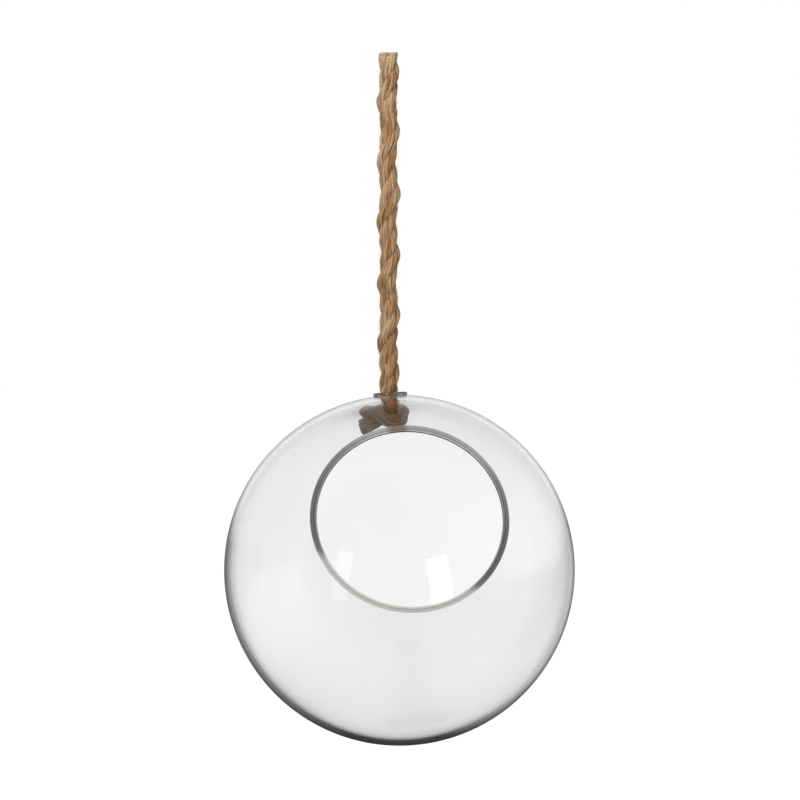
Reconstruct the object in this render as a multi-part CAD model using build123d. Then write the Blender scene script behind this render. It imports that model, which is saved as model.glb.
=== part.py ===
from build123d import *
import math
import os

# A clear blown-glass globe with a large round mouth ground into its front, hung on a
# thick jute rope. The rope passes through a lipped hole in the globe's top and is
# stopped inside by an overhand knot, which sits fast in the globe.
# All lengths are millimetres and all angles degrees.
# The origin is the middle of the rope's cut end, +Z is up and the mouth faces -Y.

# Glass globe
GLOBE_RADIUS = 125.0
MEAN_WALL = 3.5
# The hollow lies off the globe's centre, so the blown wall is heavier below, left and behind.
HOLLOW_RIGHT = 0.6
HOLLOW_FORWARD = 0.19
HOLLOW_UP = 0.8

# Mouth: a flat cut through the wall
MOUTH_RADIUS = 68.4
MOUTH_UP_ANGLE = 27.8
MOUTH_RIGHT_ANGLE = 4.4
RIM_ROUND = 0.8

# Rope hole in the top, drilled towards the globe's centre, with a raised lip round it
HOLE_BACK_ANGLE = 4.27
HOLE_LEFT_ANGLE = 3.0
HOLE_PLAY = 3.7
LIP_WALL = 1.4
LIP_HEIGHT = 1.7
LIP_ROUND = 0.5
LIP_FOOT_ROUND = 1.0

# Rope
ROPE_DIAMETER = 14.0
ROPE_DROP = 241.0
ROPE_OFF_CENTRE = 1.2
TIED_LENGTH = 40.0
SECOND_BEND_DROP = 118.0
TWIST_DROP = 185.0
BEND_CLEARANCE = 0.4
TWIST_GAP = 0.3

# Stopper knot: its turns are as large as the rope makes them
KNOT_DEPTH = 12.5
SEAT_GAP = 0.3
TURN_LEAN_ANGLE = 14.0
TAIL_LENGTH = 18.0
TAIL_ROUND = 1.5
KNOT_TUBE_SHARE = 0.88
TURN_RADIUS_SHARE = 1.42
TURN_DROP_SHARE = 0.62
TAIL_START_SHARES = (-1.45, 0.35, 0.20)
TAIL_WAY_SHARES = (-0.40, -0.35, -1.0)

# One overrun serves every cut.
CUT_OVERRUN = 20.0

ROPE_RADIUS = ROPE_DIAMETER / 2
HOLLOW_RADIUS = GLOBE_RADIUS - MEAN_WALL
HOLE_RADIUS = ROPE_RADIUS + HOLE_PLAY
LIP_RADIUS = HOLE_RADIUS + LIP_WALL
LIP_TOP = GLOBE_RADIUS + LIP_HEIGHT
SOCKET_RADIUS = ROPE_RADIUS + BEND_CLEARANCE
SOCKET_RIM = math.sqrt(SOCKET_RADIUS**2 - ROPE_RADIUS**2)
MOUTH_DISTANCE = math.sqrt(GLOBE_RADIUS**2 - MOUTH_RADIUS**2)
KNOT_TUBE_RADIUS = KNOT_TUBE_SHARE * ROPE_RADIUS

# The rope bends twice on its way down, twists, and bends once more at the lip.
FIRST_BEND_Z = -(TIED_LENGTH + SOCKET_RIM)
SECOND_BEND_Z = -SECOND_BEND_DROP
TWIST_Z = -TWIST_DROP
LIP_BEND_Z = -ROPE_DROP


def mouth_way():
    """The way out of the mouth, square to its rim."""
    up = math.radians(MOUTH_UP_ANGLE)
    right = math.radians(MOUTH_RIGHT_ANGLE)
    return Vector(math.cos(up) * math.sin(right), -math.cos(up) * math.cos(right), math.sin(up))


def hole_way():
    """The way from the globe's centre to the rope hole."""
    back = math.tan(math.radians(HOLE_BACK_ANGLE))
    left = math.tan(math.radians(HOLE_LEFT_ANGLE))
    return Vector(-left, back, 1).normalized()


LIP_CENTRE = Vector(ROPE_OFF_CENTRE, 0, -ROPE_DROP)
GLOBE_CENTRE = LIP_CENTRE - hole_way() * LIP_TOP
HOLLOW_CENTRE = GLOBE_CENTRE + Vector(HOLLOW_RIGHT, -HOLLOW_FORWARD, HOLLOW_UP)
KNOT_CENTRE = Vector(0, 0, -(ROPE_DROP + KNOT_DEPTH))


def seat_radius():
    """Radius of the ball about the knot's centre that just clears the hole's inner edge."""
    way = hole_way()
    hollow_along = (HOLLOW_CENTRE - GLOBE_CENTRE).dot(way)
    edge_along = hollow_along + math.sqrt(HOLLOW_RADIUS**2 - HOLE_RADIUS**2)
    from_knot = GLOBE_CENTRE + way * edge_along - KNOT_CENTRE
    above = from_knot.dot(way)
    aside = (from_knot - way * above).length
    return math.hypot(above, HOLE_RADIUS - aside) - SEAT_GAP


def rope_run(top, bottom, ball_top, socket_bottom):
    """A straight run of rope, with a ball or a socket where it bends."""
    lines = []
    high = top
    low = bottom
    low_edge = bottom
    if ball_top:
        high = top + ROPE_RADIUS
        lines.append(CenterArc((0, top), ROPE_RADIUS, 0, 90))
    else:
        lines.append(Line((0, top), (ROPE_RADIUS, top)))
    if socket_bottom:
        low = bottom + SOCKET_RADIUS
        low_edge = bottom + SOCKET_RIM
        start = math.degrees(math.acos(ROPE_RADIUS / SOCKET_RADIUS))
        lines.append(CenterArc((0, bottom), SOCKET_RADIUS, start, 90 - start))
    else:
        lines.append(Line((0, bottom), (ROPE_RADIUS, bottom)))
    lines.append(Line((ROPE_RADIUS, top), (ROPE_RADIUS, low_edge)))
    lines.append(Line((0, high), (0, low)))
    profile = Plane.XZ * make_face(Curve(children=lines).edges())
    return revolve(profile, Axis.Z)


def glass_globe():
    """The blown shell, with its mouth cut flat and its rope hole drilled through a raised lip."""
    out = mouth_way()
    drill = Plane(GLOBE_CENTRE, z_dir=hole_way())
    upright = (Align.CENTER, Align.CENTER, Align.MIN)

    ball = Plane(GLOBE_CENTRE, z_dir=out) * Sphere(GLOBE_RADIUS)
    ball += drill * Cylinder(LIP_RADIUS, LIP_TOP, align=upright)
    rings = ball.faces().filter_by(GeomType.CYLINDER).edges().filter_by(GeomType.CIRCLE)
    foot = rings.sort_by(lambda ring: (ring @ 0 - GLOBE_CENTRE).dot(hole_way()))[0]
    ball = fillet(foot, LIP_FOOT_ROUND)
    shell = ball - Plane(HOLLOW_CENTRE, z_dir=out) * Sphere(HOLLOW_RADIUS)

    cap_height = GLOBE_RADIUS - MOUTH_DISTANCE + CUT_OVERRUN
    mouth = Plane(GLOBE_CENTRE + out * MOUTH_DISTANCE, z_dir=out)
    shell -= mouth * Cylinder(GLOBE_RADIUS, cap_height, align=upright)
    flats = shell.faces().filter_by(GeomType.PLANE)
    rim = flats.sort_by(lambda flat: flat.normal_at().dot(out))[-1]
    shell = fillet(rim.edges(), RIM_ROUND)

    shell -= drill * Cylinder(HOLE_RADIUS, LIP_TOP + CUT_OVERRUN, align=upright)
    flats = shell.faces().filter_by(GeomType.PLANE)
    lip = flats.sort_by(lambda flat: flat.normal_at().dot(hole_way()))[-1]
    return fillet(lip.edges(), LIP_ROUND)


def stopper_knot():
    """The overhand knot: standing part, wrapped turn and short tail, drawn tight under the hole."""
    knot = Pos(*KNOT_CENTRE) * Sphere(seat_radius())
    knot += rope_run(LIP_BEND_Z, KNOT_CENTRE.Z, True, False)

    turn_centre = KNOT_CENTRE - Vector(0, 0, TURN_DROP_SHARE * ROPE_RADIUS)
    turn = Rot(0, TURN_LEAN_ANGLE, 0) * Torus(TURN_RADIUS_SHARE * ROPE_RADIUS, KNOT_TUBE_RADIUS)
    knot += Pos(*turn_centre) * turn

    tail_start = KNOT_CENTRE + Vector(*TAIL_START_SHARES) * ROPE_RADIUS
    tail = Cylinder(KNOT_TUBE_RADIUS, TAIL_LENGTH, align=(Align.CENTER, Align.CENTER, Align.MIN))
    tail = fillet(tail.edges().sort_by(Axis.Z)[-1], TAIL_ROUND)
    knot += Plane(tail_start, z_dir=Vector(*TAIL_WAY_SHARES)) * tail
    return knot


nodes = {
    "rope_tied_end": rope_run(0, FIRST_BEND_Z, False, True),
    "rope_upper": rope_run(FIRST_BEND_Z, SECOND_BEND_Z, True, True),
    "rope_lower": rope_run(SECOND_BEND_Z, TWIST_Z + TWIST_GAP, True, False),
    "rope_neck": rope_run(TWIST_Z, LIP_BEND_Z, False, True),
    "stopper_knot": stopper_knot(),
    "glass_globe": glass_globe(),
}

os.makedirs("parts", exist_ok=True)
for name, solid in nodes.items():
    export_step(solid, f"parts/{name}.step")

print("globe centre", tuple(GLOBE_CENTRE), "hollow centre", tuple(HOLLOW_CENTRE))
print("bends at", FIRST_BEND_Z, SECOND_BEND_Z, LIP_BEND_Z, "twist at", TWIST_Z, "knot centre", tuple(KNOT_CENTRE))
print("knot seat radius", seat_radius(), "mouth distance", MOUTH_DISTANCE)
for name in ("rope_tied_end", "rope_upper", "rope_lower", "rope_neck"):
    box = nodes[name].bounding_box()
    print(name, "volume", nodes[name].volume, "section times length", math.pi * ROPE_RADIUS**2 * box.size.Z)
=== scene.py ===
import logging
import math
from collections.abc import Mapping, Sequence
from dataclasses import dataclass, field
from enum import Enum
from typing import Any

import bpy
import numpy as np
from mathutils import Matrix, Vector


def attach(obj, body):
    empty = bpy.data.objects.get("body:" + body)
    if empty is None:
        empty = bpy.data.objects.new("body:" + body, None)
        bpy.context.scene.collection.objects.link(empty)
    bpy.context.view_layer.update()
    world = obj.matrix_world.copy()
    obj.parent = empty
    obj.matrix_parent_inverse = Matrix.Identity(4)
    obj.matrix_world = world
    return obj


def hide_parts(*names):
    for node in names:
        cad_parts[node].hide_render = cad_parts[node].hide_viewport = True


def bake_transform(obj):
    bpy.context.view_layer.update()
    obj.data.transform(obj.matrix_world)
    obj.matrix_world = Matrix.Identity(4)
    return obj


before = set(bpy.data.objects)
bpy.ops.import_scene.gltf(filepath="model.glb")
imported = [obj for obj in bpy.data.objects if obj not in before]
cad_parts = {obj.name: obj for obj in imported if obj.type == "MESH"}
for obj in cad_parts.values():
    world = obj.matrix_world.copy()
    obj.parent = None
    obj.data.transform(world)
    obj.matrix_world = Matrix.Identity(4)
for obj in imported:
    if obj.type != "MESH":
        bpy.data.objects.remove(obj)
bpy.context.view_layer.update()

MM = 0.001
# The waves that make up a wobble, each as a share of the longest.
WAVES = (1.0, 0.57, 0.31)
# Its multiples, less their whole part, spread evenly.
GOLDEN_SHARE = 0.618
log = logging.getLogger("hanging_globe")

Point = tuple[float, float, float]
Colour = tuple[float, float, float, float]
Stops = tuple[tuple[float, str], ...]
Tube = tuple[np.ndarray, float, int]


class Lay(Enum):
    """Which way a twisted thing winds, seen upright: like the middle of a Z or of an S."""

    Z = -1.0
    S = 1.0


def linear(hex_code: str) -> Colour:
    """Turns an sRGB hex colour into linear light.

    Args:
        hex_code: A hash and six hex digits.

    Returns:
        Red, green and blue in linear light, and an alpha of one.
    """
    parts = [int(hex_code[i:i + 2], 16) / 255 for i in (1, 3, 5)]
    red, green, blue = (p / 12.92 if p <= 0.04045 else ((p + 0.055) / 1.055) ** 2.4 for p in parts)
    return red, green, blue, 1.0


def add_node(
    tree: bpy.types.NodeTree,
    kind: str,
    settings: Mapping[str, Any] | None = None,
    inputs: Mapping[str | int, Any] | None = None,
    stops: Sequence[tuple[float, str]] = (),
) -> bpy.types.Node:
    """Adds a node with its settings and links.

    Args:
        tree: The node tree that takes the node.
        kind: The node's type name.
        settings: Attributes to set on the node.
        inputs: For each input, a plain value or the output that feeds it.
        stops: For a colour ramp, the place and hex colour of each stop.

    Returns:
        The new node.
    """
    node = tree.nodes.new(kind)
    for name, value in (settings or {}).items():
        setattr(node, name, value)
    for key, value in (inputs or {}).items():
        if isinstance(value, bpy.types.NodeSocket):
            tree.links.new(value, node.inputs[key])
        else:
            node.inputs[key].default_value = value
    for i, (place, colour) in enumerate(stops):
        ramp = node.color_ramp.elements
        stop = ramp[i] if i < 2 else ramp.new(place)
        stop.position = place
        stop.color = linear(colour)
    return node


def new_material(name: str) -> tuple[bpy.types.Material, bpy.types.NodeTree]:
    """Starts a material with nothing in it.

    Args:
        name: The material's name.

    Returns:
        The material and its empty node tree.
    """
    material = bpy.data.materials.new(name)
    material.use_nodes = True
    material.node_tree.nodes.clear()
    return material, material.node_tree


def new_piece(name: str, points: np.ndarray, faces: list[tuple[int, ...]]) -> bpy.types.Object:
    """Makes a smooth mesh piece in the shared frame.

    Args:
        name: The piece's name.
        points: One row per vertex, in metres.
        faces: The vertices round each face.

    Returns:
        The new object.
    """
    mesh = bpy.data.meshes.new(name)
    mesh.from_pydata(points.tolist(), [], faces)
    mesh.update()
    mesh.shade_smooth()
    piece = bpy.data.objects.new(name, mesh)
    bpy.context.scene.collection.objects.link(piece)
    return piece


def wander(dice: np.random.Generator, along: np.ndarray, size: float, longest: float) -> np.ndarray:
    """A smooth wobble along a length.

    Args:
        dice: The seeded source of its phases.
        along: Where the wobble is wanted.
        size: Its largest swing.
        longest: Its longest wave, in the units of along.

    Returns:
        The wobble at each place.
    """
    total = np.zeros_like(along)
    for part in WAVES:
        total += part * np.sin(2 * math.pi * along / (longest * part) + dice.uniform(0, 2 * math.pi))
    return size * total / sum(WAVES)


@dataclass(frozen=True)
class JuteFinish:
    """Jute, spun into hairy yarns and laid up: dull bast fibre, streaked from straw to brown."""

    dark: str = "#70482A"
    brown: str = "#A87848"
    tan: str = "#C49C70"
    straw: str = "#DFC29C"
    streak_wide_mm: float = 0.6
    streak_long_mm: float = 12.0
    patch_mm: float = 22.0
    # How far a yarn's own tone and a patch's shift a streak, and the sums that come out darkest and palest.
    yarn_share: float = 0.40
    patch_share: float = 0.35
    darkest: float = 0.49
    palest: float = 1.19
    relief_mm: float = 0.25
    roughness: float = 0.88

    def make(self, name: str, yarn_round_mm: float) -> bpy.types.Material:
        """Makes the jute for one size of yarn.

        Args:
            name: The material's name.
            yarn_round_mm: The length round one yarn.

        Returns:
            The material.
        """
        material, tree = new_material(name)
        # The map runs in metres along the yarn and once round it. Real fibres are about 0.05 mm
        # wide, too fine to show, so a streak here is a bundle of them.
        place = add_node(tree, "ShaderNodeUVMap", {"uv_map": "along_and_round"})
        stretch = (1 / (self.streak_long_mm * MM), yarn_round_mm / self.streak_wide_mm, 1.0)
        turned = add_node(tree, "ShaderNodeMapping", None, {0: place.outputs[0], "Scale": stretch})
        streaks = add_node(tree, "ShaderNodeTexNoise", None, {
            "Vector": turned.outputs[0], "Scale": 1.0, "Detail": 3.0, "Roughness": 0.62})
        yarn = add_node(tree, "ShaderNodeAttribute", {"attribute_name": "yarn_tone"})
        where = add_node(tree, "ShaderNodeTexCoord")
        patches = add_node(tree, "ShaderNodeTexNoise", None, {
            "Vector": where.outputs["Object"], "Scale": 1 / (self.patch_mm * MM), "Detail": 2.0})
        # Each streak is one bundle's colour, shifted by its yarn's own tone and the patch it lies in.
        toned = add_node(tree, "ShaderNodeMath", {"operation": "MULTIPLY_ADD"}, {
            0: yarn.outputs["Fac"], 1: self.yarn_share, 2: streaks.outputs["Fac"]})
        mixed = add_node(tree, "ShaderNodeMath", {"operation": "MULTIPLY_ADD"}, {
            0: patches.outputs["Fac"], 1: self.patch_share, 2: toned.outputs[0]})
        spread = add_node(tree, "ShaderNodeMapRange", None, {
            "Value": mixed.outputs[0], "From Min": self.darkest, "From Max": self.palest})
        colour = add_node(tree, "ShaderNodeValToRGB", None, {0: spread.outputs[0]}, (
            (0.0, self.dark), (1.0, self.straw), (0.28, self.brown), (0.62, self.tan)))
        relief = add_node(tree, "ShaderNodeBump", None, {
            "Height": streaks.outputs["Fac"], "Strength": 0.55, "Distance": self.relief_mm * MM})
        rough = add_node(tree, "ShaderNodeMapRange", None, {
            "Value": streaks.outputs["Fac"],
            "To Min": self.roughness - 0.1, "To Max": self.roughness + 0.08})
        shader = add_node(tree, "ShaderNodeBsdfPrincipled", None, {
            "Base Color": colour.outputs[0], "Roughness": rough.outputs[0], "Normal": relief.outputs[0],
            "Specular IOR Level": 0.25, "Sheen Weight": 0.12, "Sheen Roughness": 0.6})
        add_node(tree, "ShaderNodeOutputMaterial", None, {"Surface": shader.outputs[0]})
        return material


@dataclass(frozen=True)
class GroundRim:
    """Where the ground flat round the mouth lies."""

    middle_mm: np.ndarray
    up: np.ndarray
    low_m: float
    high_m: float
    inner_mm: float
    outer_mm: float
    knot_mm: np.ndarray


@dataclass(frozen=True)
class BlownGlassFinish:
    """Soda-lime glass, blown and then ground flat at the mouth: clear and faintly waved, with a satin rim."""

    tint: str = "#FFFFFF"
    body: str = "#BCBDBE"
    ior: float = 1.5
    density_per_m: float = 25.0
    wave_mm: float = 55.0
    wave_deep_mm: float = 0.25
    # The ground rim's tone from its bottom to its top is painted light and shade: it stands in for the room's
    # light that its satin takes less or more of.
    rim_painted_light: Stops = (
        (0.0, "#E6E3DC"), (1.0, "#CFD0CE"), (0.18, "#E2DFD9"), (0.225, "#868582"), (0.35, "#868582"),
        (0.55, "#8C8C89"), (0.68, "#A2A29F"), (0.8, "#B0B1AF"), (0.92, "#DCDDDB"))
    # Across the rim, from its inner to its outer edge, the tone is banded with painted reflections and shade:
    # bright at its edges, with a dark line near its inner one.
    rim_painted_bands: Stops = (
        (0.0, "#FFFFFF"), (1.0, "#FFFFFF"), (0.07, "#625C56"), (0.18, "#C8BEB4"), (0.34, "#FFF8EE"),
        (0.46, "#D0CECC"), (0.58, "#A2A3A4"), (0.7, "#E4E7EA"), (0.84, "#B8BCC0"), (0.94, "#FAFCFF"))
    flank_shade: str = "#5E5E5C"
    painted_knot_brown: str = "#7A6450"
    knot_core_mm: float = 4.0
    knot_fade_mm: float = 9.0
    rim_grain_mm: float = 0.6
    rim_pit_mm: float = 0.03
    rim_roughness: float = 0.32
    rim_clearness: float = 0.5

    def make(self, name: str, rim: GroundRim) -> bpy.types.Material:
        """Makes the glass.

        Args:
            name: The material's name.
            rim: Where the ground rim lies.

        Returns:
            The material.
        """
        material, tree = new_material(name)
        where = add_node(tree, "ShaderNodeTexCoord")
        wave = add_node(tree, "ShaderNodeTexNoise", None, {
            "Vector": where.outputs["Object"], "Scale": 1 / (self.wave_mm * MM), "Detail": 0.0})
        relief = add_node(tree, "ShaderNodeBump", None, {
            "Height": wave.outputs["Fac"], "Strength": 0.2, "Distance": self.wave_deep_mm * MM})
        # The lip's flanks gather the dark of a room that the plain backdrop lacks, so painted shade tones them
        # down.
        flanks = add_node(tree, "ShaderNodeAttribute", {"attribute_name": "lip_flank"})
        flank_shaded = add_node(tree, "ShaderNodeMix", {"data_type": "RGBA"}, {
            0: flanks.outputs["Fac"], 6: linear(self.tint), 7: linear(self.flank_shade)})
        clear = add_node(tree, "ShaderNodeBsdfPrincipled", None, {
            "Base Color": flank_shaded.outputs[2], "Roughness": 0.0, "IOR": self.ior,
            "Transmission Weight": 1.0, "Normal": relief.outputs[0]})
        # Grinding pits are about 0.05 mm wide, too fine to show, so a grain here is a patch of them.
        grain = add_node(tree, "ShaderNodeTexNoise", None, {
            "Vector": where.outputs["Object"], "Scale": 1 / (self.rim_grain_mm * MM), "Detail": 2.0})
        pitted = add_node(tree, "ShaderNodeBump", None, {
            "Height": grain.outputs["Fac"], "Strength": 0.3, "Distance": self.rim_pit_mm * MM})
        up = add_node(tree, "ShaderNodeVectorMath", {"operation": "DOT_PRODUCT"}, {
            0: where.outputs["Object"], 1: tuple(rim.up)})
        height = add_node(tree, "ShaderNodeMapRange", None, {
            "Value": up.outputs["Value"], "From Min": rim.low_m, "From Max": rim.high_m})
        # Painted light and shade by height: pale low on the rim, dark at its sides, lighter again towards its
        # top.
        tone = add_node(tree, "ShaderNodeValToRGB", None, {0: height.outputs[0]}, self.rim_painted_light)
        far = add_node(tree, "ShaderNodeVectorMath", {"operation": "DISTANCE"}, {
            0: where.outputs["Object"], 1: tuple(MM * rim.middle_mm)})
        across = add_node(tree, "ShaderNodeMapRange", None, {
            "Value": far.outputs["Value"], "From Min": MM * rim.inner_mm, "From Max": MM * rim.outer_mm})
        # Painted bands of reflection and shade across the rim.
        painted_bands = add_node(tree, "ShaderNodeValToRGB", None, {0: across.outputs[0]}, self.rim_painted_bands)
        # The painted light and shade by height is multiplied by the painted bands.
        toned = add_node(tree, "ShaderNodeMix", {"data_type": "RGBA", "blend_type": "MULTIPLY"}, {
            0: 1.0, 6: tone.outputs[0], 7: painted_bands.outputs[0]})
        # The knot behind the top of the rim is painted on the satin as a brown patch, where it would show
        # through.
        near = add_node(tree, "ShaderNodeVectorMath", {"operation": "DISTANCE"}, {
            0: where.outputs["Object"], 1: tuple(MM * rim.knot_mm)})
        browned = add_node(tree, "ShaderNodeMapRange", None, {
            "Value": near.outputs["Value"],
            "From Min": self.knot_fade_mm * MM, "From Max": self.knot_core_mm * MM, "To Max": 0.8})
        patched = add_node(tree, "ShaderNodeMix", {"data_type": "RGBA"}, {
            0: browned.outputs[0], 6: toned.outputs[2], 7: linear(self.painted_knot_brown)})
        # Low on the rim the backdrop comes through the satin.
        clearer = add_node(tree, "ShaderNodeMapRange", None, {
            "Value": height.outputs[0], "From Min": 0.3, "From Max": 0.15, "To Max": self.rim_clearness})
        ground = add_node(tree, "ShaderNodeBsdfPrincipled", None, {
            "Base Color": patched.outputs[2], "Roughness": self.rim_roughness, "IOR": self.ior,
            "Transmission Weight": clearer.outputs[0], "Normal": pitted.outputs[0]})
        cut = add_node(tree, "ShaderNodeAttribute", {"attribute_name": "ground_rim"})
        surface = add_node(tree, "ShaderNodeMixShader", None, {
            0: cut.outputs["Fac"], 1: clear.outputs[0], 2: ground.outputs[0]})
        body = add_node(tree, "ShaderNodeVolumeAbsorption", None, {
            "Color": linear(self.body), "Density": self.density_per_m})
        add_node(tree, "ShaderNodeOutputMaterial", None, {
            "Surface": surface.outputs[0], "Volume": body.outputs[0]})
        return material


@dataclass
class RopeRoute:
    """The line down the rope's middle, from its cut end through the hole and round the knot."""

    hanging_mm: tuple[Point, ...] = ((0, 0, 0), (0, 0, -158), (0, 0, -241))
    knot_centre_mm: Point = (0, 0, -253.5)
    # An overhand knot: down, left behind, over the front to the right, round the back,
    # and out through the turn.
    knot_mm: tuple[Point, ...] = (
        (0.8, -1, 4.5), (2.6, -0.5, -2.5), (3, 5, -6.5), (-4, 10.8, -6.8), (-12.8, 11.5, -3.5),
        (-18, 3.5, -0.5), (-14, -5.5, 0), (-7.5, -9.8, -2.8), (1.5, -9.3, -8.2), (8.8, -6.8, -6.3),
        (10.8, 0.5, 0), (6, 8.5, 1.2), (-3, 9.5, 1.2), (-7.2, 3, -2), (-8.2, -1, -6), (-12, -5, -9),
        (-20, -10, -12.4))
    resolution: int = 32

    def read(self) -> np.ndarray:
        """Reads points along the smooth line.

        Returns:
            One row per point, in metres.
        """
        knot = [tuple(p + c for p, c in zip(point, self.knot_centre_mm)) for point in self.knot_mm]
        places = [*self.hanging_mm, *knot]
        curve = bpy.data.curves.new("rope_route", "CURVE")
        curve.dimensions = "3D"
        spline = curve.splines.new("NURBS")
        spline.points.add(len(places) - 1)
        for point, place in zip(spline.points, places):
            point.co = (*(MM * p for p in place), 1.0)
        spline.order_u = 3
        spline.use_endpoint_u = True
        spline.resolution_u = self.resolution
        holder = bpy.data.objects.new("rope_route", curve)
        mesh = bpy.data.meshes.new_from_object(holder)
        points = np.array([v.co for v in mesh.vertices], float)
        bpy.data.meshes.remove(mesh)
        bpy.data.curves.remove(curve)
        return points


@dataclass(frozen=True)
class RopeRun:
    """A stretch of the rope, made as its own piece."""

    name: str
    start_mm: float
    end_mm: float | None
    above: str
    below: str
    bend_from_mm: float
    bend_to_mm: float
    nodes: tuple[str, ...]
    exit_mm: Point
    far_end: str


@dataclass
class JuteRope:
    """The three-strand rope with its knot, built once and parted into runs."""

    route: RopeRoute = field(default_factory=RopeRoute)
    finish: JuteFinish = field(default_factory=JuteFinish)
    diameter_mm: float = 14.0
    mean_mm: float = 12.9
    lay: Lay = Lay.Z
    lay_mm: float = 43.0
    # One strand stands proud of the others and pushes them aside, so the outline sways once a lay.
    proud_mm: float = 0.9
    sway_mm: float = 0.7
    proud_right_at_mm: float = 56.0
    settled_mm: float = 40.0
    strand_reach_mm: float = 2.1
    strands: int = 3
    yarns: int = 10
    yarn_lay_mm: float = 110.0
    yarn_reach_mm: float = 3.5
    yarn_radius_mm: float = 1.25
    core_share: float = 2.2
    # The rope is drawn tight in the knot and opens again towards its tail.
    knot_share: float = 0.7
    knot_from_mm: float = 240.0
    knot_to_mm: float = 252.0
    tail_share: float = 0.92
    tail_mm: float = 26.0
    fray_mm: float = 9.0
    fray_apart_mm: float = 0.6
    uneven_mm: float = 0.5
    step_mm: float = 1.2
    sides: int = 12
    seed: int = 11
    # The jute's tone is darker for a while into the knot and paler again beyond it, and a little paler towards
    # its cut end.
    darker_over_mm: float = 8.0
    knot_darker: float = 0.5
    paler_from_mm: float = 16.0
    paler_over_mm: float = 10.0
    beyond_paler: float = 1.2
    top_paler_mm: float = 150.0
    top_paler: float = 0.18
    # Loose fibres: strays stand off the rope, near its cut end only downwards, and the others lie on its yarns.
    strays_per_mm: float = 3.2
    stray_root: float = 0.43
    drooping_mm: float = 12.0
    short_share: float = 0.86
    short_mm: tuple[float, float] = (2.0, 5.0)
    long_mm: tuple[float, float] = (6.0, 12.0)
    stray_points: int = 6
    stray_thick_mm: tuple[float, float] = (0.035, 0.07)
    stray_tone: float = 0.8
    lying_per_mm: float = 7.0
    lying_slices: tuple[int, int] = (5, 15)
    lying_thick_mm: tuple[float, float] = (0.06, 0.13)
    lying_tones: tuple[float, float] = (-0.2, 1.0)
    fibre_corners: int = 3
    # On the jute's map a fibre moves this far from point to point, and a cut end spreads this far.
    fibre_map_m: float = 0.002
    cut_map_m: float = 0.0004
    runs: tuple[RopeRun, ...] = (
        RopeRun("rope_top_run", 0, 78, "tied_end", "upper_rope", -20, -64,
                ("rope_tied_end",), (0, 0, -78), "bare"),
        RopeRun("rope_middle_run", 78, 156, "upper_rope", "lower_rope", -96, -140,
                ("rope_upper",), (0, 0, -156), "object"),
        RopeRun("rope_lower_run", 156, 235.2, "lower_rope", "neck", -160, -230,
                ("rope_lower", "rope_neck"), (0, 0, -235.2), "object"),
        RopeRun("rope_knot_run", 235.2, None, "neck", "globe", -237, -246,
                ("stopper_knot",), (0, 0, -235.2), "knot"),
    )
    read: np.ndarray = field(init=False)
    gone: np.ndarray = field(init=False)
    along: np.ndarray = field(init=False)
    middle: np.ndarray = field(init=False)
    ahead: np.ndarray = field(init=False)
    right: np.ndarray = field(init=False)
    back: np.ndarray = field(init=False)
    squeeze: np.ndarray = field(init=False)

    def lay_out(self) -> None:
        """Reads the route and works out the rope's slices along it."""
        read = self.route.read()
        gone = np.concatenate([[0], np.cumsum(np.linalg.norm(np.diff(read, axis=0), axis=1))]) / MM
        rows = round(gone[-1] / self.step_mm)
        self.along = np.arange(rows) * self.step_mm
        self.middle = np.stack([np.interp(self.along, gone, read[:, k]) for k in range(3)], axis=1)
        ahead = np.gradient(self.middle, axis=0)
        ahead /= np.linalg.norm(ahead, axis=1, keepdims=True)
        right = np.empty_like(ahead)
        right[0] = (1, 0, 0)
        for i in range(1, rows):
            level = right[i - 1] - ahead[i] * (right[i - 1] @ ahead[i])
            right[i] = level / np.linalg.norm(level)
        self.ahead, self.right, self.back = ahead, right, np.cross(right, ahead)
        turn = np.clip((self.along - self.knot_from_mm) / (self.knot_to_mm - self.knot_from_mm), 0, 1)
        tail = np.clip(1 - (self.along[-1] - self.along) / self.tail_mm, 0, 1)
        self.squeeze = 1 - (1 - self.knot_share) * turn * turn * (3 - 2 * turn)
        self.squeeze = self.squeeze + (self.tail_share - self.knot_share) * tail * tail * (3 - 2 * tail)
        self.read, self.gone = read, gone

    def strand_middle(self, strand: int, dice: np.random.Generator) -> np.ndarray:
        """The middle of one strand in each slice.

        Args:
            strand: Which strand.
            dice: The seeded source of its wobble.

        Returns:
            Millimetres right and back of the rope's middle, for each slice.
        """
        turn = self.lay.value * 2 * math.pi * (self.along - self.proud_right_at_mm) / self.lay_mm
        angle = turn + 2 * math.pi * strand / self.strands + wander(dice, self.along, size=0.10, longest=130)
        # The cut end lies straight, and so does the rope where it goes into the knot.
        settled = np.clip(self.along / self.settled_mm, 0, 1)
        sway = self.sway_mm * settled * np.clip((self.knot_from_mm - self.along) / self.settled_mm, 0, 1)
        proud = settled * (self.proud_mm if strand == 0 else -self.proud_mm / 4)
        reach = self.strand_reach_mm + proud + wander(dice, self.along, size=0.22, longest=110)
        out, aside = (np.stack([np.cos(a), np.sin(a)], axis=1) for a in (angle, turn))
        return (self.squeeze * reach)[:, None] * out + sway[:, None] * aside

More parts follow.
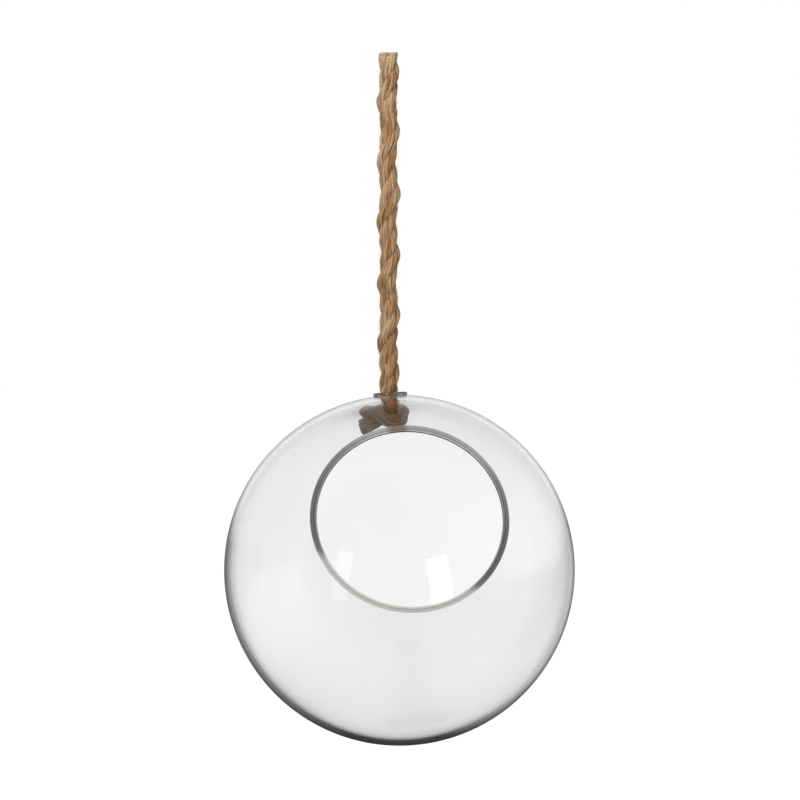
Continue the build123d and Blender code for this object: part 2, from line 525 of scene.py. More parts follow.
    def yarn_rings(self, middle: np.ndarray, yarn: int, dice: np.random.Generator) -> np.ndarray:
        """The rings round one yarn.

        Args:
            middle: The strand's middle in each slice.
            yarn: Which yarn; the last is the strand's core.
            dice: The seeded source of its slubs.

        Returns:
            Slices by sides by three, in metres.
        """
        twist = Lay.S if self.lay is Lay.Z else Lay.Z
        angle = twist.value * 2 * math.pi * self.along / self.yarn_lay_mm + 2 * math.pi * yarn / self.yarns
        angle = angle + wander(dice, self.along, size=0.3, longest=44)
        core = yarn == self.yarns
        reach = 0.0 if core else self.yarn_reach_mm + wander(dice, self.along, size=0.3, longest=37)
        swell = self.core_share if core else 1 + wander(dice, self.along, size=0.2, longest=26)
        radius = self.yarn_radius_mm * swell
        fray = np.clip(1 - (self.along[-1] - self.along) / self.fray_mm, 0, 1)
        flare = self.squeeze * (1 + 0.15 * fray * fray)
        out = np.stack([np.cos(angle), np.sin(angle)], axis=1)
        apart = dice.uniform(-self.fray_apart_mm, self.fray_apart_mm, 2)
        at = middle + (flare * reach)[:, None] * out + (fray * fray)[:, None] * apart
        rings = []
        for side in range(self.sides):
            round_at = angle + math.pi + 2 * math.pi * side / self.sides
            spoke = np.stack([np.cos(round_at), np.sin(round_at)], axis=1)
            edge = at + (self.squeeze * radius)[:, None] * spoke
            rings.append(self.middle + MM * (edge[:, :1] * self.right + edge[:, 1:] * self.back))
        return np.stack(rings, axis=1)

    def build(self) -> list[bpy.types.Object]:
        """Builds every run of rope with its stray fibres.

        Returns:
            The runs.
        """
        self.lay_out()
        dice = np.random.default_rng(self.seed)
        jute = self.finish.make("jute_spun_and_laid", 2 * math.pi * self.yarn_radius_mm)
        tubes = []
        for strand in range(self.strands):
            middle = self.strand_middle(strand, dice)
            for yarn in range(self.yarns + 1):
                last = len(self.along) - int(dice.integers(0, 3))
                rings = self.yarn_rings(middle, yarn, dice)
                # Each yarn is cut at its own height.
                short = MM * self.uneven_mm * (GOLDEN_SHARE * len(tubes) % 1)
                rings[0] += short * self.ahead[0]
                rings[last - 1] -= short * self.ahead[last - 1]
                tubes.append((rings, float(dice.random()), last))
        made = []
        for run in self.runs:
            rope = self.run_mesh(run, tubes)
            fibres = self.fibre_mesh(run, tubes, dice)
            for piece in (rope, fibres):
                piece.data.materials.append(jute)
                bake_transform(piece)
            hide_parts(*run.nodes)
            made.append(rope)
        return made

    def rows_of(self, run: RopeRun) -> tuple[int, int]:
        """The first and last slice of a run."""
        last = len(self.along) - 1 if run.end_mm is None else round(run.end_mm / self.step_mm)
        return round(run.start_mm / self.step_mm), last

    def tone_shift(self, along: np.ndarray) -> np.ndarray:
        """How far the jute's tone lies from its yarn's own.

        Args:
            along: Millimetres from the cut end.

        Returns:
            The shift at each place, paler where it is above zero.
        """
        # The tone is darker for a while into the knot, paler beyond it and towards the cut end.
        gone_in = along - self.knot_from_mm
        into_knot = np.clip(gone_in / self.darker_over_mm, 0, 1)
        beyond_knot = np.clip((gone_in - self.paler_from_mm) / self.paler_over_mm, 0, 1)
        near_top = np.clip(1 - along / self.top_paler_mm, 0, 1)
        return self.beyond_paler * beyond_knot - self.knot_darker * into_knot + self.top_paler * near_top

    def jute_piece(self, name: str, points: list[np.ndarray], faces: list[tuple[int, ...]],
                   tones: list[np.ndarray], places: list[tuple[float, float]]) -> bpy.types.Object:
        """Makes a piece of jute with its tones and its map.

        Args:
            name: The piece's name.
            points: The vertices of each yarn or fibre, in metres.
            faces: The vertices round each face.
            tones: The tone at each vertex.
            places: The map's place for each corner: metres along the yarn and turns round it.

        Returns:
            The new object.
        """
        piece = new_piece(name, np.concatenate(points), faces)
        tone = piece.data.attributes.new("yarn_tone", "FLOAT", "POINT")
        tone.data.foreach_set("value", np.concatenate(tones))
        chart = piece.data.uv_layers.new(name="along_and_round")
        chart.data.foreach_set("uv", np.array(places).ravel())
        return piece

    def run_mesh(self, run: RopeRun, tubes: list[Tube]) -> bpy.types.Object:
        """Builds the yarns of one run.

        Args:
            run: The run.
            tubes: For each yarn its rings, its tone, and how many rings it has before its end.

        Returns:
            The run's piece.
        """
        first, last = self.rows_of(run)
        points, faces, tones, places = [], [], [], []
        for rings, tone, count in tubes:
            end = min(last, count - 1)
            base = sum(len(p) for p in points)
            points.append(rings[first:end + 1].reshape(-1, 3))
            tones.append(np.repeat(tone + self.tone_shift(self.along[first:end + 1]), self.sides))
            for row in range(end - first):
                low, high = MM * self.along[first + row], MM * self.along[first + row + 1]
                for side in range(self.sides):
                    after = (side + 1) % self.sides
                    a, b = base + row * self.sides, base + (row + 1) * self.sides
                    faces.append((a + side, b + side, b + after, a + after))
                    v, w = side / self.sides, (side + 1) / self.sides
                    places += [(low, v), (high, v), (high, w), (low, w)]
            # Only the rope's own two ends are closed.
            ends = []
            if first == 0:
                ends.append((first, range(base, base + self.sides)))
            if run.end_mm is None:
                start = base + (end - first) * self.sides
                ends.append((end, range(start, start + self.sides)[::-1]))
            for row, ring in ends:
                faces.append(tuple(ring))
                place = MM * self.along[row]
                places += [(place + self.cut_map_m * math.sin(k), k / self.sides) for k in range(self.sides)]
        return self.jute_piece(run.name, points, faces, tones, places)

    def stray_line(self, first: int, last: int, dice: np.random.Generator) -> np.ndarray:
        """The line of a fibre that stands off the rope.

        Args:
            first: The run's first slice.
            last: The run's last slice.
            dice: The seeded source of its place and curl.

        Returns:
            One row per point, in metres.
        """
        row = int(dice.integers(first + 2, last - 2))
        angle = dice.uniform(0, 2 * math.pi)
        out = math.cos(angle) * self.right[row] + math.sin(angle) * self.back[row]
        side = np.cross(out, self.ahead[row])
        root = self.middle[row] + out * MM * self.diameter_mm * self.stray_root * self.squeeze[row]
        lean = 1 if self.along[row] < self.drooping_mm else dice.choice([-1, 1])
        way = self.ahead[row] * lean + 0.45 * side * dice.normal() + out * dice.uniform(0.05, 0.55)
        way /= np.linalg.norm(way)
        long = MM * dice.uniform(*(self.short_mm if dice.random() < self.short_share else self.long_mm))
        curl = out * dice.uniform(-0.5, 0.7) + side * dice.normal() * 0.5
        share = np.linspace(0, 1, self.stray_points)[:, None]
        return root + long * (way * share + curl * share * share * 0.5)

    def lying_line(self, tubes: list[Tube], first: int, last: int, dice: np.random.Generator) -> np.ndarray:
        """The line of a fibre that lies along the outside of a yarn.

        Args:
            tubes: The yarns.
            first: The run's first slice.
            last: The run's last slice.
            dice: The seeded source of its place and length.

        Returns:
            One row per point, in metres.
        """
        rings = tubes[int(dice.integers(len(tubes)))][0]
        long = int(dice.integers(*self.lying_slices))
        rows = int(dice.integers(first, last - long - 3)) + np.arange(long)
        side = self.sides * (0.5 + 0.13 * dice.normal())
        sides = np.linspace(side, side + self.sides * 0.16 * dice.normal(), long)
        low = np.floor(sides).astype(int)
        share = (sides - low)[:, None]
        line = (1 - share) * rings[rows, low % self.sides] + share * rings[rows, (low + 1) % self.sides]
        out = line - rings[rows].mean(axis=1)
        out /= np.linalg.norm(out, axis=1, keepdims=True)
        bow = 0.06 + dice.uniform(0, 0.45) * np.sin(np.linspace(0, math.pi, long))
        return line + MM * bow[:, None] * out

    def fibre_mesh(self, run: RopeRun, tubes: list[Tube], dice: np.random.Generator) -> bpy.types.Object:
        """Builds the loose fibres of one run.

        Args:
            run: The run.
            tubes: The yarns.
            dice: The seeded source of their places.

        Returns:
            The fibres' piece.
        """
        first, last = self.rows_of(run)
        span = (last - first) * self.step_mm
        lines = [self.stray_line(first, last, dice) for _ in range(round(self.strays_per_mm * span))]
        strays = len(lines)
        lines += [self.lying_line(tubes, first, last, dice) for _ in range(round(self.lying_per_mm * span))]
        points, faces, tones, places = [], [], [], []
        base, around = 0, self.fibre_corners
        turns = 2 * math.pi * np.arange(around) / around
        # Any way that no fibre runs along serves to find two ways across it.
        skew = (0.31, 0.54, 0.78)
        for number, line in enumerate(lines):
            rows = len(line)
            across = np.cross(line[-1] - line[0], skew)
            across /= np.linalg.norm(across)
            beside = np.cross(line[-1] - line[0], across)
            beside /= np.linalg.norm(beside)
            stray = number < strays
            thick = MM * dice.uniform(*(self.stray_thick_mm if stray else self.lying_thick_mm))
            taper = thick * np.linspace(1, 0.3, rows)[:, None]
            corners = [line + taper * (math.cos(turn) * across + math.sin(turn) * beside) for turn in turns]
            points.append(np.stack(corners, axis=1).reshape(-1, 3))
            tones.append(np.full(around * rows, self.stray_tone if stray else dice.uniform(*self.lying_tones)))
            place = dice.uniform(0, 0.3)
            for row in range(rows - 1):
                low = place + self.fibre_map_m * row
                high = low + self.fibre_map_m
                a, b = base + around * row, base + around * (row + 1)
                for corner in range(around):
                    after = (corner + 1) % around
                    faces.append((a + corner, a + after, b + after, b + corner))
                    places += [(low, 0.2), (low, 0.25), (high, 0.25), (high, 0.2)]
            base += around * rows
        return self.jute_piece(run.name.replace("run", "fibres"), points, faces, tones, places)


@dataclass(frozen=True)
class TurnedFace:
    """A true face turned round an axis: part of a ball, of a ring, of a tube or of a flat."""

    axis: np.ndarray
    base: np.ndarray
    along_mm: float | None = 0.0
    ring_mm: float = 0.0
    round_mm: float = 0.0
    way: int = 1

    def normals(self, points: np.ndarray) -> tuple[np.ndarray, np.ndarray]:
        """The face's normals near some points.

        Args:
            points: One row per point, in millimetres.

        Returns:
            How far each point lies off the face, and the face's normal there.
        """
        off = points - self.base
        along = off @ self.axis
        if not self.round_mm:
            return np.abs(along - self.along_mm), np.tile(self.axis, (len(points), 1))
        aside = off - along[:, None] * self.axis
        reach = np.linalg.norm(aside, axis=1)
        rise = 0 * along if self.along_mm is None else along - self.along_mm
        spread = reach - self.ring_mm
        far = np.maximum(np.hypot(rise, spread), 1e-9)
        spoke = aside / np.maximum(reach, 1e-9)[:, None]
        normal = (rise[:, None] * self.axis + spread[:, None] * spoke) / far[:, None]
        return np.abs(far - self.round_mm), self.way * normal


@dataclass
class GlassGlobe:
    """The blown globe: a shell with an uneven wall, a ground mouth and a lipped hole for the rope."""

    finish: BlownGlassFinish = field(default_factory=BlownGlassFinish)
    radius_mm: float = 125.0
    wall_mm: float = 3.5
    hollow_shift_mm: Point = (0.15, -0.37, 0.2)
    mouth_radius_mm: float = 68.4
    mouth_up_deg: float = 27.8
    mouth_right_deg: float = 4.4
    rim_round_mm: float = 0.45
    lip_top_mm: Point = (1.2, 0, -241)
    lip_height_mm: float = 1.7
    lip_wall_mm: float = 1.4
    lip_round_mm: float = 0.68
    lip_foot_mm: float = 1.0
    hole_radius_mm: float = 10.7
    hole_back_deg: float = 4.27
    hole_left_deg: float = 3.0
    # The rim's painted light and shade climb a little faster on the right, and the painted knot patch shows a
    # little left of its top.
    climb_right: float = 0.244
    knot_up_left: tuple[float, float] = (0.996, 0.09)
    # The lip's flanks, where shade is painted: how far up they start, and between which shares of the hole's
    # radius they set in.
    flank_from_mm: float = 0.2
    flank_shares: tuple[float, float] = (0.4, 0.6)
    columns: int = 256
    rows: int = 150
    hole_columns: int = 96
    rim_rows: int = 9
    foot_rows: int = 9
    edge_rows: int = 7
    flare_rows: int = 8
    # Each pole is a small round face, and a close pair of rings keeps the wall true where the rim's
    # round starts.
    pole_rad: float = 0.0015
    pair_rad: float = 0.0006
    # A corner sharper than this stays an edge, and a face this close to a true one takes its normals.
    edge_deg: float = 35.0
    close_mm: float = 0.06
    aligned: float = 0.9
    out: np.ndarray = field(init=False)
    hole: np.ndarray = field(init=False)
    centre: np.ndarray = field(init=False)
    hollow: np.ndarray = field(init=False)
    hollow_radius: float = field(init=False)
    faces: list[TurnedFace] = field(init=False)
    lip_face: int = field(init=False)

    def __post_init__(self) -> None:
        """Works out the directions, middles and true faces from the sizes."""
        up, right = math.radians(self.mouth_up_deg), math.radians(self.mouth_right_deg)
        self.out = np.array([math.cos(up) * math.sin(right), -math.cos(up) * math.cos(right), math.sin(up)])
        left, back = (math.tan(math.radians(a)) for a in (self.hole_left_deg, self.hole_back_deg))
        hole = np.array([-left, back, 1.0])
        self.hole = hole / np.linalg.norm(hole)
        self.centre = np.array(self.lip_top_mm) - self.hole * (self.radius_mm + self.lip_height_mm)
        self.hollow = self.centre + np.array(self.hollow_shift_mm)
        self.hollow_radius = self.radius_mm - self.wall_mm
        # The first face is the ground flat of the rim.
        reach = math.sqrt(self.radius_mm**2 - self.mouth_radius_mm**2)
        self.faces = [
            TurnedFace(self.out, self.centre, reach),
            TurnedFace(self.out, self.centre, round_mm=self.radius_mm),
            TurnedFace(self.out, self.hollow, round_mm=self.hollow_radius, way=-1)]

    def rings(self, axis: np.ndarray, base: np.ndarray, places: np.ndarray, columns: int) -> np.ndarray:
        """Turns a profile round an axis.

        Args:
            axis: The axis.
            base: A point on it.
            places: For each ring, its distance along the axis and its radius.
            columns: How many points a ring has.

        Returns:
            Rings by columns by three, in millimetres.
        """
        first = np.cross(axis, (1.0, 0.0, 0.0))
        first /= np.linalg.norm(first)
        second = np.cross(axis, first)
        turn = 2 * math.pi * np.arange(columns) / columns
        spoke = np.cos(turn)[:, None] * first + np.sin(turn)[:, None] * second
        return base + places[:, 0, None, None] * axis + places[:, 1, None, None] * spoke[None]

    def wall_rings(self) -> np.ndarray:
        """The whole wall without its hole, from the outside's far pole over the rim to the inside's.

        Returns:
            Rings by columns by three, in millimetres.
        """
        round_by = self.rim_round_mm
        reach = math.sqrt(self.radius_mm**2 - self.mouth_radius_mm**2)
        inner_reach = reach - float((self.hollow - self.centre) @ self.out)
        parts = []
        for base, radius, far, way in (
            (self.centre, self.radius_mm, reach, -1), (self.hollow, self.hollow_radius, inner_reach, 1)):
            # A ball of the rim's radius rests in the corner between the wall's face and the flat.
            ball = radius + way * round_by
            along = far - round_by
            aside = math.sqrt(ball**2 - along**2)
            touch = math.atan2(aside, -along)
            turns = np.linspace(self.pole_rad, touch, self.rows)
            turns = np.append(turns[:-1], [touch - self.pair_rad, touch])
            face = np.stack([-radius * np.cos(turns), radius * np.sin(turns)], axis=1)
            self.faces.append(TurnedFace(self.out, base, along, aside, round_by))
            start = math.atan2(along, aside) if way < 0 else math.atan2(-along, -aside) + 2 * math.pi
            bend = np.linspace(start, math.pi / 2, self.rim_rows)[1:]
            corner = np.stack([along + round_by * np.sin(bend), aside + round_by * np.cos(bend)], axis=1)
            parts.append(self.rings(self.out, base, np.concatenate([face, corner]), self.columns))
        outside, inside = parts
        flat = [outside[-1] + share * (inside[-1] - outside[-1]) for share in (0.03, 0.5, 0.97)]
        return np.concatenate([outside, np.stack(flat), inside[::-1]])

    def lip_tools(self) -> tuple[bpy.types.Object, bpy.types.Object]:
        """The collar that is added for the lip, and the drill that opens the hole through it.

        Returns:
            Two closed meshes, to be removed after use.
        """
        lip, foot, edge = self.hole_radius_mm + self.lip_wall_mm, self.lip_foot_mm, self.lip_round_mm
        top = self.radius_mm + self.lip_height_mm
        ball, ring = self.radius_mm + foot, lip + foot
        low = math.sqrt(ball**2 - ring**2)
        turns = np.linspace(math.atan2(-low, -ring), -math.pi, self.foot_rows)
        sweep = np.stack([low + foot * np.sin(turns), ring + foot * np.cos(turns)], axis=1)
        turns = np.linspace(0, math.pi / 2, self.edge_rows)
        outer = np.stack([top - edge + edge * np.sin(turns), lip - edge + edge * np.cos(turns)], axis=1)
        # The collar starts inside the wall.
        inside = [[self.radius_mm - 1.8, sweep[0, 1]]]
        collar = self.rings(self.hole, self.centre, np.concatenate([inside, sweep, outer]), self.hole_columns)

        # The drill starts well inside the hollow, flares over the lip's inner edge and ends above it.
        bore = self.hole_radius_mm
        turns = np.radians(np.linspace(180, 98, self.flare_rows))
        flare = np.stack([top - edge + edge * np.sin(turns), bore + edge + edge * np.cos(turns)], axis=1)
        tip = flare[-1] + 3.0 * np.array([-math.cos(turns[-1]), math.sin(turns[-1])])
        places = np.concatenate([[[self.radius_mm * 0.8, bore]], flare, [tip], [[tip[0] + 10, tip[1]]]])
        drill = self.rings(self.hole, self.centre, places, self.hole_columns)
        self.lip_face = len(self.faces)
        self.faces += [
            TurnedFace(self.hole, self.centre, None, 0, bore, -1),
            TurnedFace(self.hole, self.centre, None, 0, lip),
            TurnedFace(self.hole, self.centre, low, ring, foot, -1),
            TurnedFace(self.hole, self.centre, top - edge, lip - edge, edge),
            TurnedFace(self.hole, self.centre, top - edge, bore + edge, edge),
            TurnedFace(self.hole, self.centre, top)]
        return self.strip("lip_collar", collar), self.strip("rope_hole_drill", drill)

    def strip(self, name: str, rings: np.ndarray) -> bpy.types.Object:
        """Joins rings into a closed mesh.

        Args:
            name: The piece's name.
            rings: Rings by columns by three, in millimetres.

        Returns:
            The new object.
        """
        count, columns = rings.shape[:2]
        faces = [tuple(range(columns))[::-1]]
        for row in range(count - 1):
            a, b = row * columns, (row + 1) * columns
            faces += [(a + k, a + (k + 1) % columns, b + (k + 1) % columns, b + k) for k in range(columns)]
        faces.append(tuple(range((count - 1) * columns, count * columns)))
        return new_piece(name, MM * rings.reshape(-1, 3), faces)

    def build(self) -> bpy.types.Object:
        """Builds and dresses the globe.

        Returns:
            The globe's piece.
        """
        globe = self.strip("glass_globe_wall", self.wall_rings())
        tools = self.lip_tools()
        for tool, work in zip(tools, ("UNION", "DIFFERENCE")):
            shaping = globe.modifiers.new(tool.name, "BOOLEAN")
            shaping.operation, shaping.solver, shaping.object = work, "EXACT", tool
        done = bpy.data.meshes.new_from_object(globe.evaluated_get(bpy.context.evaluated_depsgraph_get()))
        globe.modifiers.clear()
        globe.data = done
        for tool in tools:
            bpy.data.objects.remove(tool)
        self.polish(done)
        # The rim's painted light and shade climb along this way, and the painted knot patch sits near the rim's
        # top.
        up = np.array([0, 0, 1]) - self.out[2] * self.out
        up /= np.linalg.norm(up)
        climb = up + self.climb_right * np.cross(up, self.out)
        middle = self.centre + self.faces[0].along_mm * self.out
        ends = [MM * float((middle + way * self.mouth_radius_mm * up) @ climb) for way in (-1, 1)]
        done.materials.clear()
        inner_reach = self.faces[0].along_mm - float((self.hollow - self.centre) @ self.out)
        inner = math.sqrt(self.hollow_radius**2 - inner_reach**2)
        upward, leftward = self.knot_up_left
        way = upward * up + leftward * np.cross(self.out, up)
        knot = middle + 0.5 * (inner + self.mouth_radius_mm) * way
        rim = GroundRim(middle, climb, *ends, inner, self.mouth_radius_mm, knot)
        done.materials.append(self.finish.make("soda_lime_glass_blown_and_ground", rim))
        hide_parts("glass_globe")
        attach(globe, "globe")
        log.info("glass_globe_wall: %d faces", len(done.polygons))
        return globe

    def polish(self, mesh: bpy.types.Mesh) -> None:
        """Gives the wall its true faces' normals, and marks the ground flat and the lip's flanks.

        Args:
            mesh: The wall's mesh.
        """
        mesh.shade_smooth()
        mesh.set_sharp_from_angle(angle=math.radians(self.edge_deg))
        count = len(mesh.polygons)
        middles, facing, points = np.empty((count, 3)), np.empty((count, 3)), np.empty((len(mesh.vertices), 3))
        sizes, corners = np.empty(count, np.int32), np.empty(len(mesh.loops), np.int32)
        for source, name, values in (
            (mesh.polygons, "center", middles), (mesh.polygons, "normal", facing),
            (mesh.polygons, "loop_total", sizes), (mesh.vertices, "co", points),
            (mesh.loops, "vertex_index", corners)):
            source.foreach_get(name, values.ravel())
        middles, points = middles / MM, points / MM
        nearest, least = np.full(count, -1), np.full(count, self.close_mm)
        for k, face in enumerate(self.faces):
            miss, normal = face.normals(middles)
            fits = (miss < least) & (np.sum(normal * facing, axis=1) > self.aligned)
            nearest[fits], least[fits] = k, miss[fits]
        normals = np.array([n.vector for n in mesh.corner_normals], float)
        owner = np.repeat(nearest, sizes)
        for k, face in enumerate(self.faces):
            normals[owner == k] = face.normals(points[corners[owner == k]])[1]
        mesh.normals_split_custom_set(normals.tolist())
        off = middles - self.centre
        along = off @ self.hole
        spoke = off - along[:, None] * self.hole
        # The lip's flanks are marked for painted shade.
        lipped = (nearest >= self.lip_face) & (along > self.radius_mm + self.flank_from_mm)
        flank_shade = np.interp(np.abs(spoke[:, 0]) / self.hole_radius_mm, self.flank_shares, (0, 1)) * lipped
        for name, values in (("ground_rim", nearest == 0), ("lip_flank", flank_shade)):
            mark = mesh.attributes.new(name, "FLOAT", "FACE")
            mark.data.foreach_set("value", values.astype(np.float32))


@dataclass(frozen=True)
class StudioRoom:
    """A studio room as the world: a white backdrop, soft grey light, and what the glass mirrors of the room."""

    white: str = "#FFFFFF"
    # The soft light by height, from straight below to straight above.
    soft: Stops = ((0.0, "#696969"), (1.0, "#A5A5A5"), (0.5, "#7E7E7E"))
    # The dim room that the glass mirrors, by height.
    by_height: Stops = (
        (0.0, "#AAAAAA"), (1.0, "#C0C0C0"), (0.076, "#AEAEAE"), (0.128, "#AAAAAA"), (0.159, "#959595"),
        (0.192, "#595959"), (0.22, "#464646"), (0.297, "#3C3C3C"), (0.329, "#606060"), (0.354, "#848484"),
        (0.396, "#8E8E8E"), (0.422, "#868686"), (0.456, "#919191"), (0.483, "#D6D6D6"), (0.509, "#F2F2F2"),
        (0.53, "#FCFCFC"), (0.56, "#FFFFFF"), (0.68, "#FFFFFF"), (0.8, "#F0F0F0"), (0.93, "#DCDCDC"))
    # To both sides it is lighter, from left to right, though not at the far right or straight below.
    by_side: Stops = (
        (0.0, "#FFFFFF"), (1.0, "#404040"), (0.135, "#E8E8E8"), (0.195, "#D8D8D8"), (0.25, "#BEBEBE"),
        (0.305, "#989898"), (0.36, "#7C7C7C"), (0.4, "#616161"), (0.45, "#3F3F3F"), (0.55, "#464646"),
        (0.565, "#616161"), (0.595, "#898989"), (0.6175, "#989898"), (0.64, "#B3B3B3"), (0.665, "#CBCBCB"),
        (0.695, "#D6D6D6"), (0.85, "#C8C8C8"), (0.92, "#747474"))
    sides_from: float = -0.92
    sides_full: float = -0.5
    # In front it is dimmer towards the right.
    in_front: Stops = ((0.0, "#D8D8D8"), (1.0, "#181818"), (0.45, "#969696"), (0.62, "#6E6E6E"))
    front_from: float = -0.2
    front_full: float = -0.6
    front_share: float = 0.8
    # High up, a little to the left, it is darker.
    shade: str = "#7C7C7C"
    shade_left: float = 0.09
    shade_edge: float = 0.2
    shade_core: float = 0.1
    shade_from: float = 0.42
    shade_full: float = 0.6
    shade_share: float = 0.9

    def make(self, name: str) -> bpy.types.World:
        """Makes the world.

        Args:
            name: Its name.

        Returns:
            The world.
        """
        world = bpy.data.worlds.new(name)
        world.use_nodes = True
        tree = world.node_tree
        tree.nodes.clear()
        way = add_node(tree, "ShaderNodeTexCoord")
        parts = add_node(tree, "ShaderNodeSeparateXYZ", None, {0: way.outputs["Generated"]})
        height, across = (
            add_node(tree, "ShaderNodeMapRange", None, {
                "Value": parts.outputs[axis], "From Min": -1.0, "From Max": 1.0}) for axis in ("Z", "X"))
        soft, room, sides, ahead = (
            add_node(tree, "ShaderNodeValToRGB", None, {0: source.outputs[0]}, stops) for source, stops in (
                (height, self.soft), (height, self.by_height), (across, self.by_side), (across, self.in_front)))
        low = add_node(tree, "ShaderNodeMapRange", None, {
            "Value": parts.outputs["Z"], "From Min": self.sides_from, "From Max": self.sides_full})
        sided = add_node(tree, "ShaderNodeMix", {"data_type": "RGBA", "blend_type": "LIGHTEN"}, {
            0: low.outputs[0], 6: room.outputs[0], 7: sides.outputs[0]})
        front = add_node(tree, "ShaderNodeMapRange", None, {
            "Value": parts.outputs["Y"], "From Min": self.front_from, "From Max": self.front_full,
            "To Max": self.front_share})
        faced = add_node(tree, "ShaderNodeMix", {"data_type": "RGBA"}, {
            0: front.outputs[0], 6: sided.outputs[2], 7: ahead.outputs[0]})
        aside = add_node(tree, "ShaderNodeMath", {"operation": "ADD"}, {
            0: parts.outputs["X"], 1: self.shade_left})
        off = add_node(tree, "ShaderNodeMath", {"operation": "ABSOLUTE"}, {0: aside.outputs[0]})
        narrow = add_node(tree, "ShaderNodeMapRange", None, {
            "Value": off.outputs[0], "From Min": self.shade_edge, "From Max": self.shade_core})
        high = add_node(tree, "ShaderNodeMapRange", None, {
            "Value": parts.outputs["Z"], "From Min": self.shade_from, "From Max": self.shade_full,
            "To Max": self.shade_share})
        shade = add_node(tree, "ShaderNodeMath", {"operation": "MULTIPLY"}, {
            0: narrow.outputs[0], 1: high.outputs[0]})
        shaded = add_node(tree, "ShaderNodeMix", {"data_type": "RGBA"}, {
            0: shade.outputs[0], 6: faced.outputs[2], 7: linear(self.shade)})
        # Through the glass the backdrop shows, and in it the room; both only where no light is scattered first.
        rays = add_node(tree, "ShaderNodeLightPath")
        mirrored, scattered = (
            add_node(tree, "ShaderNodeMath", {"operation": "GREATER_THAN"}, {
                0: rays.outputs[depth], 1: 0.5}) for depth in ("Glossy Depth", "Diffuse Depth"))
        direct = add_node(tree, "ShaderNodeMath", {"operation": "SUBTRACT"}, {0: 1.0, 1: scattered.outputs[0]})
        through = add_node(tree, "ShaderNodeMath", {"operation": "MAXIMUM"}, {
            0: rays.outputs["Is Transmission Ray"], 1: rays.outputs["Is Glossy Ray"]})
        clear = add_node(tree, "ShaderNodeMath", {"operation": "MULTIPLY"}, {
            0: through.outputs[0], 1: direct.outputs[0]})
        behind = add_node(tree, "ShaderNodeMix", {"data_type": "RGBA"}, {
            0: mirrored.outputs[0], 6: linear(self.white), 7: shaded.outputs[2]})
        seen = add_node(tree, "ShaderNodeMix", {"data_type": "RGBA"}, {
            0: clear.outputs[0], 6: soft.outputs[0], 7: behind.outputs[2]})
        shown = add_node(tree, "ShaderNodeMix", {"data_type": "RGBA"}, {
            0: rays.outputs["Is Camera Ray"], 6: seen.outputs[2], 7: linear(self.white)})
        glow = add_node(tree, "ShaderNodeBackground", None, {"Color": shown.outputs[2], "Strength": 1.0})
        add_node(tree, "ShaderNodeOutputWorld", None, {"Surface": glow.outputs[0]})
        return world


@dataclass(frozen=True)
class WhitePaint:
    """Matt white paint, rolled on: even, dull and faintly grained, and white to the camera as a backdrop is."""

    colour: str = "#EDEDED"
    glow: str = "#FFFFFF"
    lift: float = 0.8
    grain_mm: float = 2.5
    grain_deep_mm: float = 0.3

    def make(self, name: str) -> bpy.types.Material:
        """Makes the paint.

        Args:
            name: The material's name.

        Returns:
            The material.
        """
        material, tree = new_material(name)
        rays = add_node(tree, "ShaderNodeLightPath")
        grain = add_node(tree, "ShaderNodeTexNoise", None, {"Scale": 1 / (self.grain_mm * MM), "Detail": 2.0})
        relief = add_node(tree, "ShaderNodeBump", None, {
            "Height": grain.outputs["Fac"], "Strength": 0.1, "Distance": self.grain_deep_mm * MM})
        lift = add_node(tree, "ShaderNodeMath", {"operation": "MULTIPLY"}, {
            0: rays.outputs["Is Camera Ray"], 1: self.lift})
        shader = add_node(tree, "ShaderNodeBsdfPrincipled", None, {
            "Base Color": linear(self.colour), "Roughness": 0.9, "Specular IOR Level": 0.1,
            "Normal": relief.outputs[0], "Emission Color": linear(self.glow),
            "Emission Strength": lift.outputs[0]})
        add_node(tree, "ShaderNodeOutputMaterial", None, {"Surface": shader.outputs[0]})
        return material


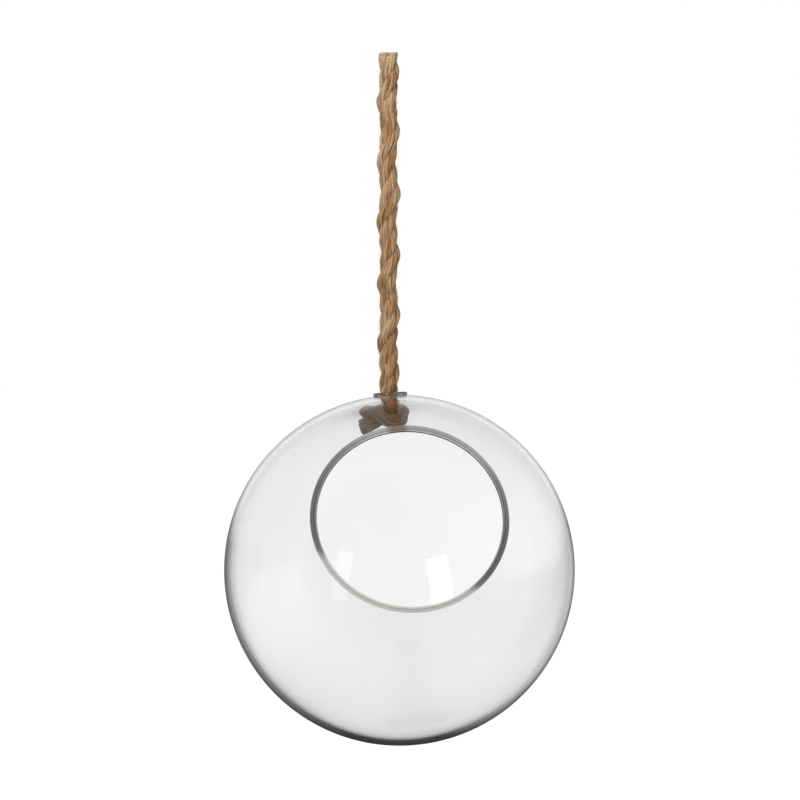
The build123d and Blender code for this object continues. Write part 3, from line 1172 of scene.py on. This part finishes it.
@dataclass
class Studio:
    """The camera, the pale floor and the plain soft light."""

    room: StudioRoom = field(default_factory=StudioRoom)
    paint: WhitePaint = field(default_factory=WhitePaint)
    aim_mm: Point = (8.225, 0, -246.454)
    look_down_deg: float = 5.106
    distance_m: float = 2.2138
    lens_mm: float = 139.685
    sensor_mm: float = 36.0
    floor_m: float = -0.85
    floor_wide_m: float = 14.0
    # Two tall windows in front, left and right, which the glass mirrors, and a soft lamp in front of the rope.
    globe_m: Point = (0.008, -0.009, -0.367)
    window_m: Point = (-0.61, -1.049, -0.055)
    window_up: Point = (-0.075, 0.19, 0.525)
    window_wide_m: float = 0.36
    window_high_m: float = 0.74
    window_watts: float = 1.7
    far_window_m: Point = (0.857, -0.9, -0.15)
    far_window_up: Point = (0.1, 0.19, 0.525)
    far_window_wide_m: float = 0.26
    far_window_watts: float = 0.65
    lamp_m: Point = (-0.22, -0.62, 0.42)
    lamp_aim_m: Point = (0, 0, -0.12)
    lamp_up: Point = (0, 0, 1)
    lamp_wide_m: float = 0.6
    lamp_watts: float = 4.0

    def place_camera(self) -> None:
        """Places the camera at the photograph's viewing angle."""
        down = math.radians(self.look_down_deg)
        look = Vector((0, math.cos(down), -math.sin(down)))
        lens = bpy.data.cameras.new("camera")
        lens.lens, lens.sensor_width = self.lens_mm, self.sensor_mm
        lens.clip_start, lens.clip_end = 0.05, 100.0
        camera = bpy.data.objects.new("camera", lens)
        camera.location = Vector(self.aim_mm) * MM - look * self.distance_m
        camera.rotation_euler = look.to_track_quat("-Z", "Y").to_euler()
        bpy.context.scene.collection.objects.link(camera)
        bpy.context.scene.camera = camera

    def lay_floor(self) -> None:
        """Lays the pale floor well below the hanging globe."""
        half = self.floor_wide_m / 2
        places = ((-half, -half), (half, -half), (half, half), (-half, half))
        corners = np.array([(x, y, self.floor_m) for x, y in places])
        floor = new_piece("studio_floor", corners, [(0, 1, 2, 3)])
        floor.data.materials.append(self.paint.make("matt_white_paint_rolled"))
        floor.visible_glossy = floor.visible_transmission = False

    def hang_lamp(self, name: str, place: Point, aim: Point, up: Point,
                  wide: float, high: float, watts: float) -> bpy.types.Object:
        """Hangs one soft lamp.

        Args:
            name: The lamp's name.
            place: Where it hangs, in metres.
            aim: What it faces.
            up: The way its height runs.
            wide: Its width in metres.
            high: Its height in metres.
            watts: Its power.

        Returns:
            The lamp.
        """
        data = bpy.data.lights.new(name, "AREA")
        data.shape, data.size, data.size_y, data.energy = "RECTANGLE", wide, high, watts
        lamp = bpy.data.objects.new(name, data)
        back = (Vector(place) - Vector(aim)).normalized()
        right = Vector(up).cross(back).normalized()
        lamp.matrix_world = Matrix((right, back.cross(right), back)).transposed().to_4x4()
        lamp.location = place
        lamp.visible_camera = False
        bpy.context.scene.collection.objects.link(lamp)
        return lamp

    def light(self) -> None:
        """Hangs the lamps and sets the world round the object."""
        self.hang_lamp("window", self.window_m, self.globe_m, self.window_up,
                       self.window_wide_m, self.window_high_m, self.window_watts)
        self.hang_lamp("far_window", self.far_window_m, self.globe_m, self.far_window_up,
                       self.far_window_wide_m, self.window_high_m, self.far_window_watts)
        lamp = self.hang_lamp("softbox", self.lamp_m, self.lamp_aim_m, self.lamp_up,
                              self.lamp_wide_m, self.lamp_wide_m, self.lamp_watts)
        lamp.visible_glossy = lamp.visible_transmission = False
        bpy.context.scene.world = self.room.make("studio")

    def build(self) -> None:
        """Sets up everything round the object."""
        self.place_camera()
        self.lay_floor()
        self.light()
        bpy.context.scene.view_settings.view_transform = "Standard"


def main() -> None:
    """Builds the studio, the rope and the globe."""
    logging.basicConfig(level=logging.INFO, format="%(name)s: %(message)s")
    Studio().build()
    for piece in JuteRope().build():
        log.info("%s: %d faces", piece.name, len(piece.data.polygons))
    GlassGlobe().build()


if __name__ == "__main__":
    main()
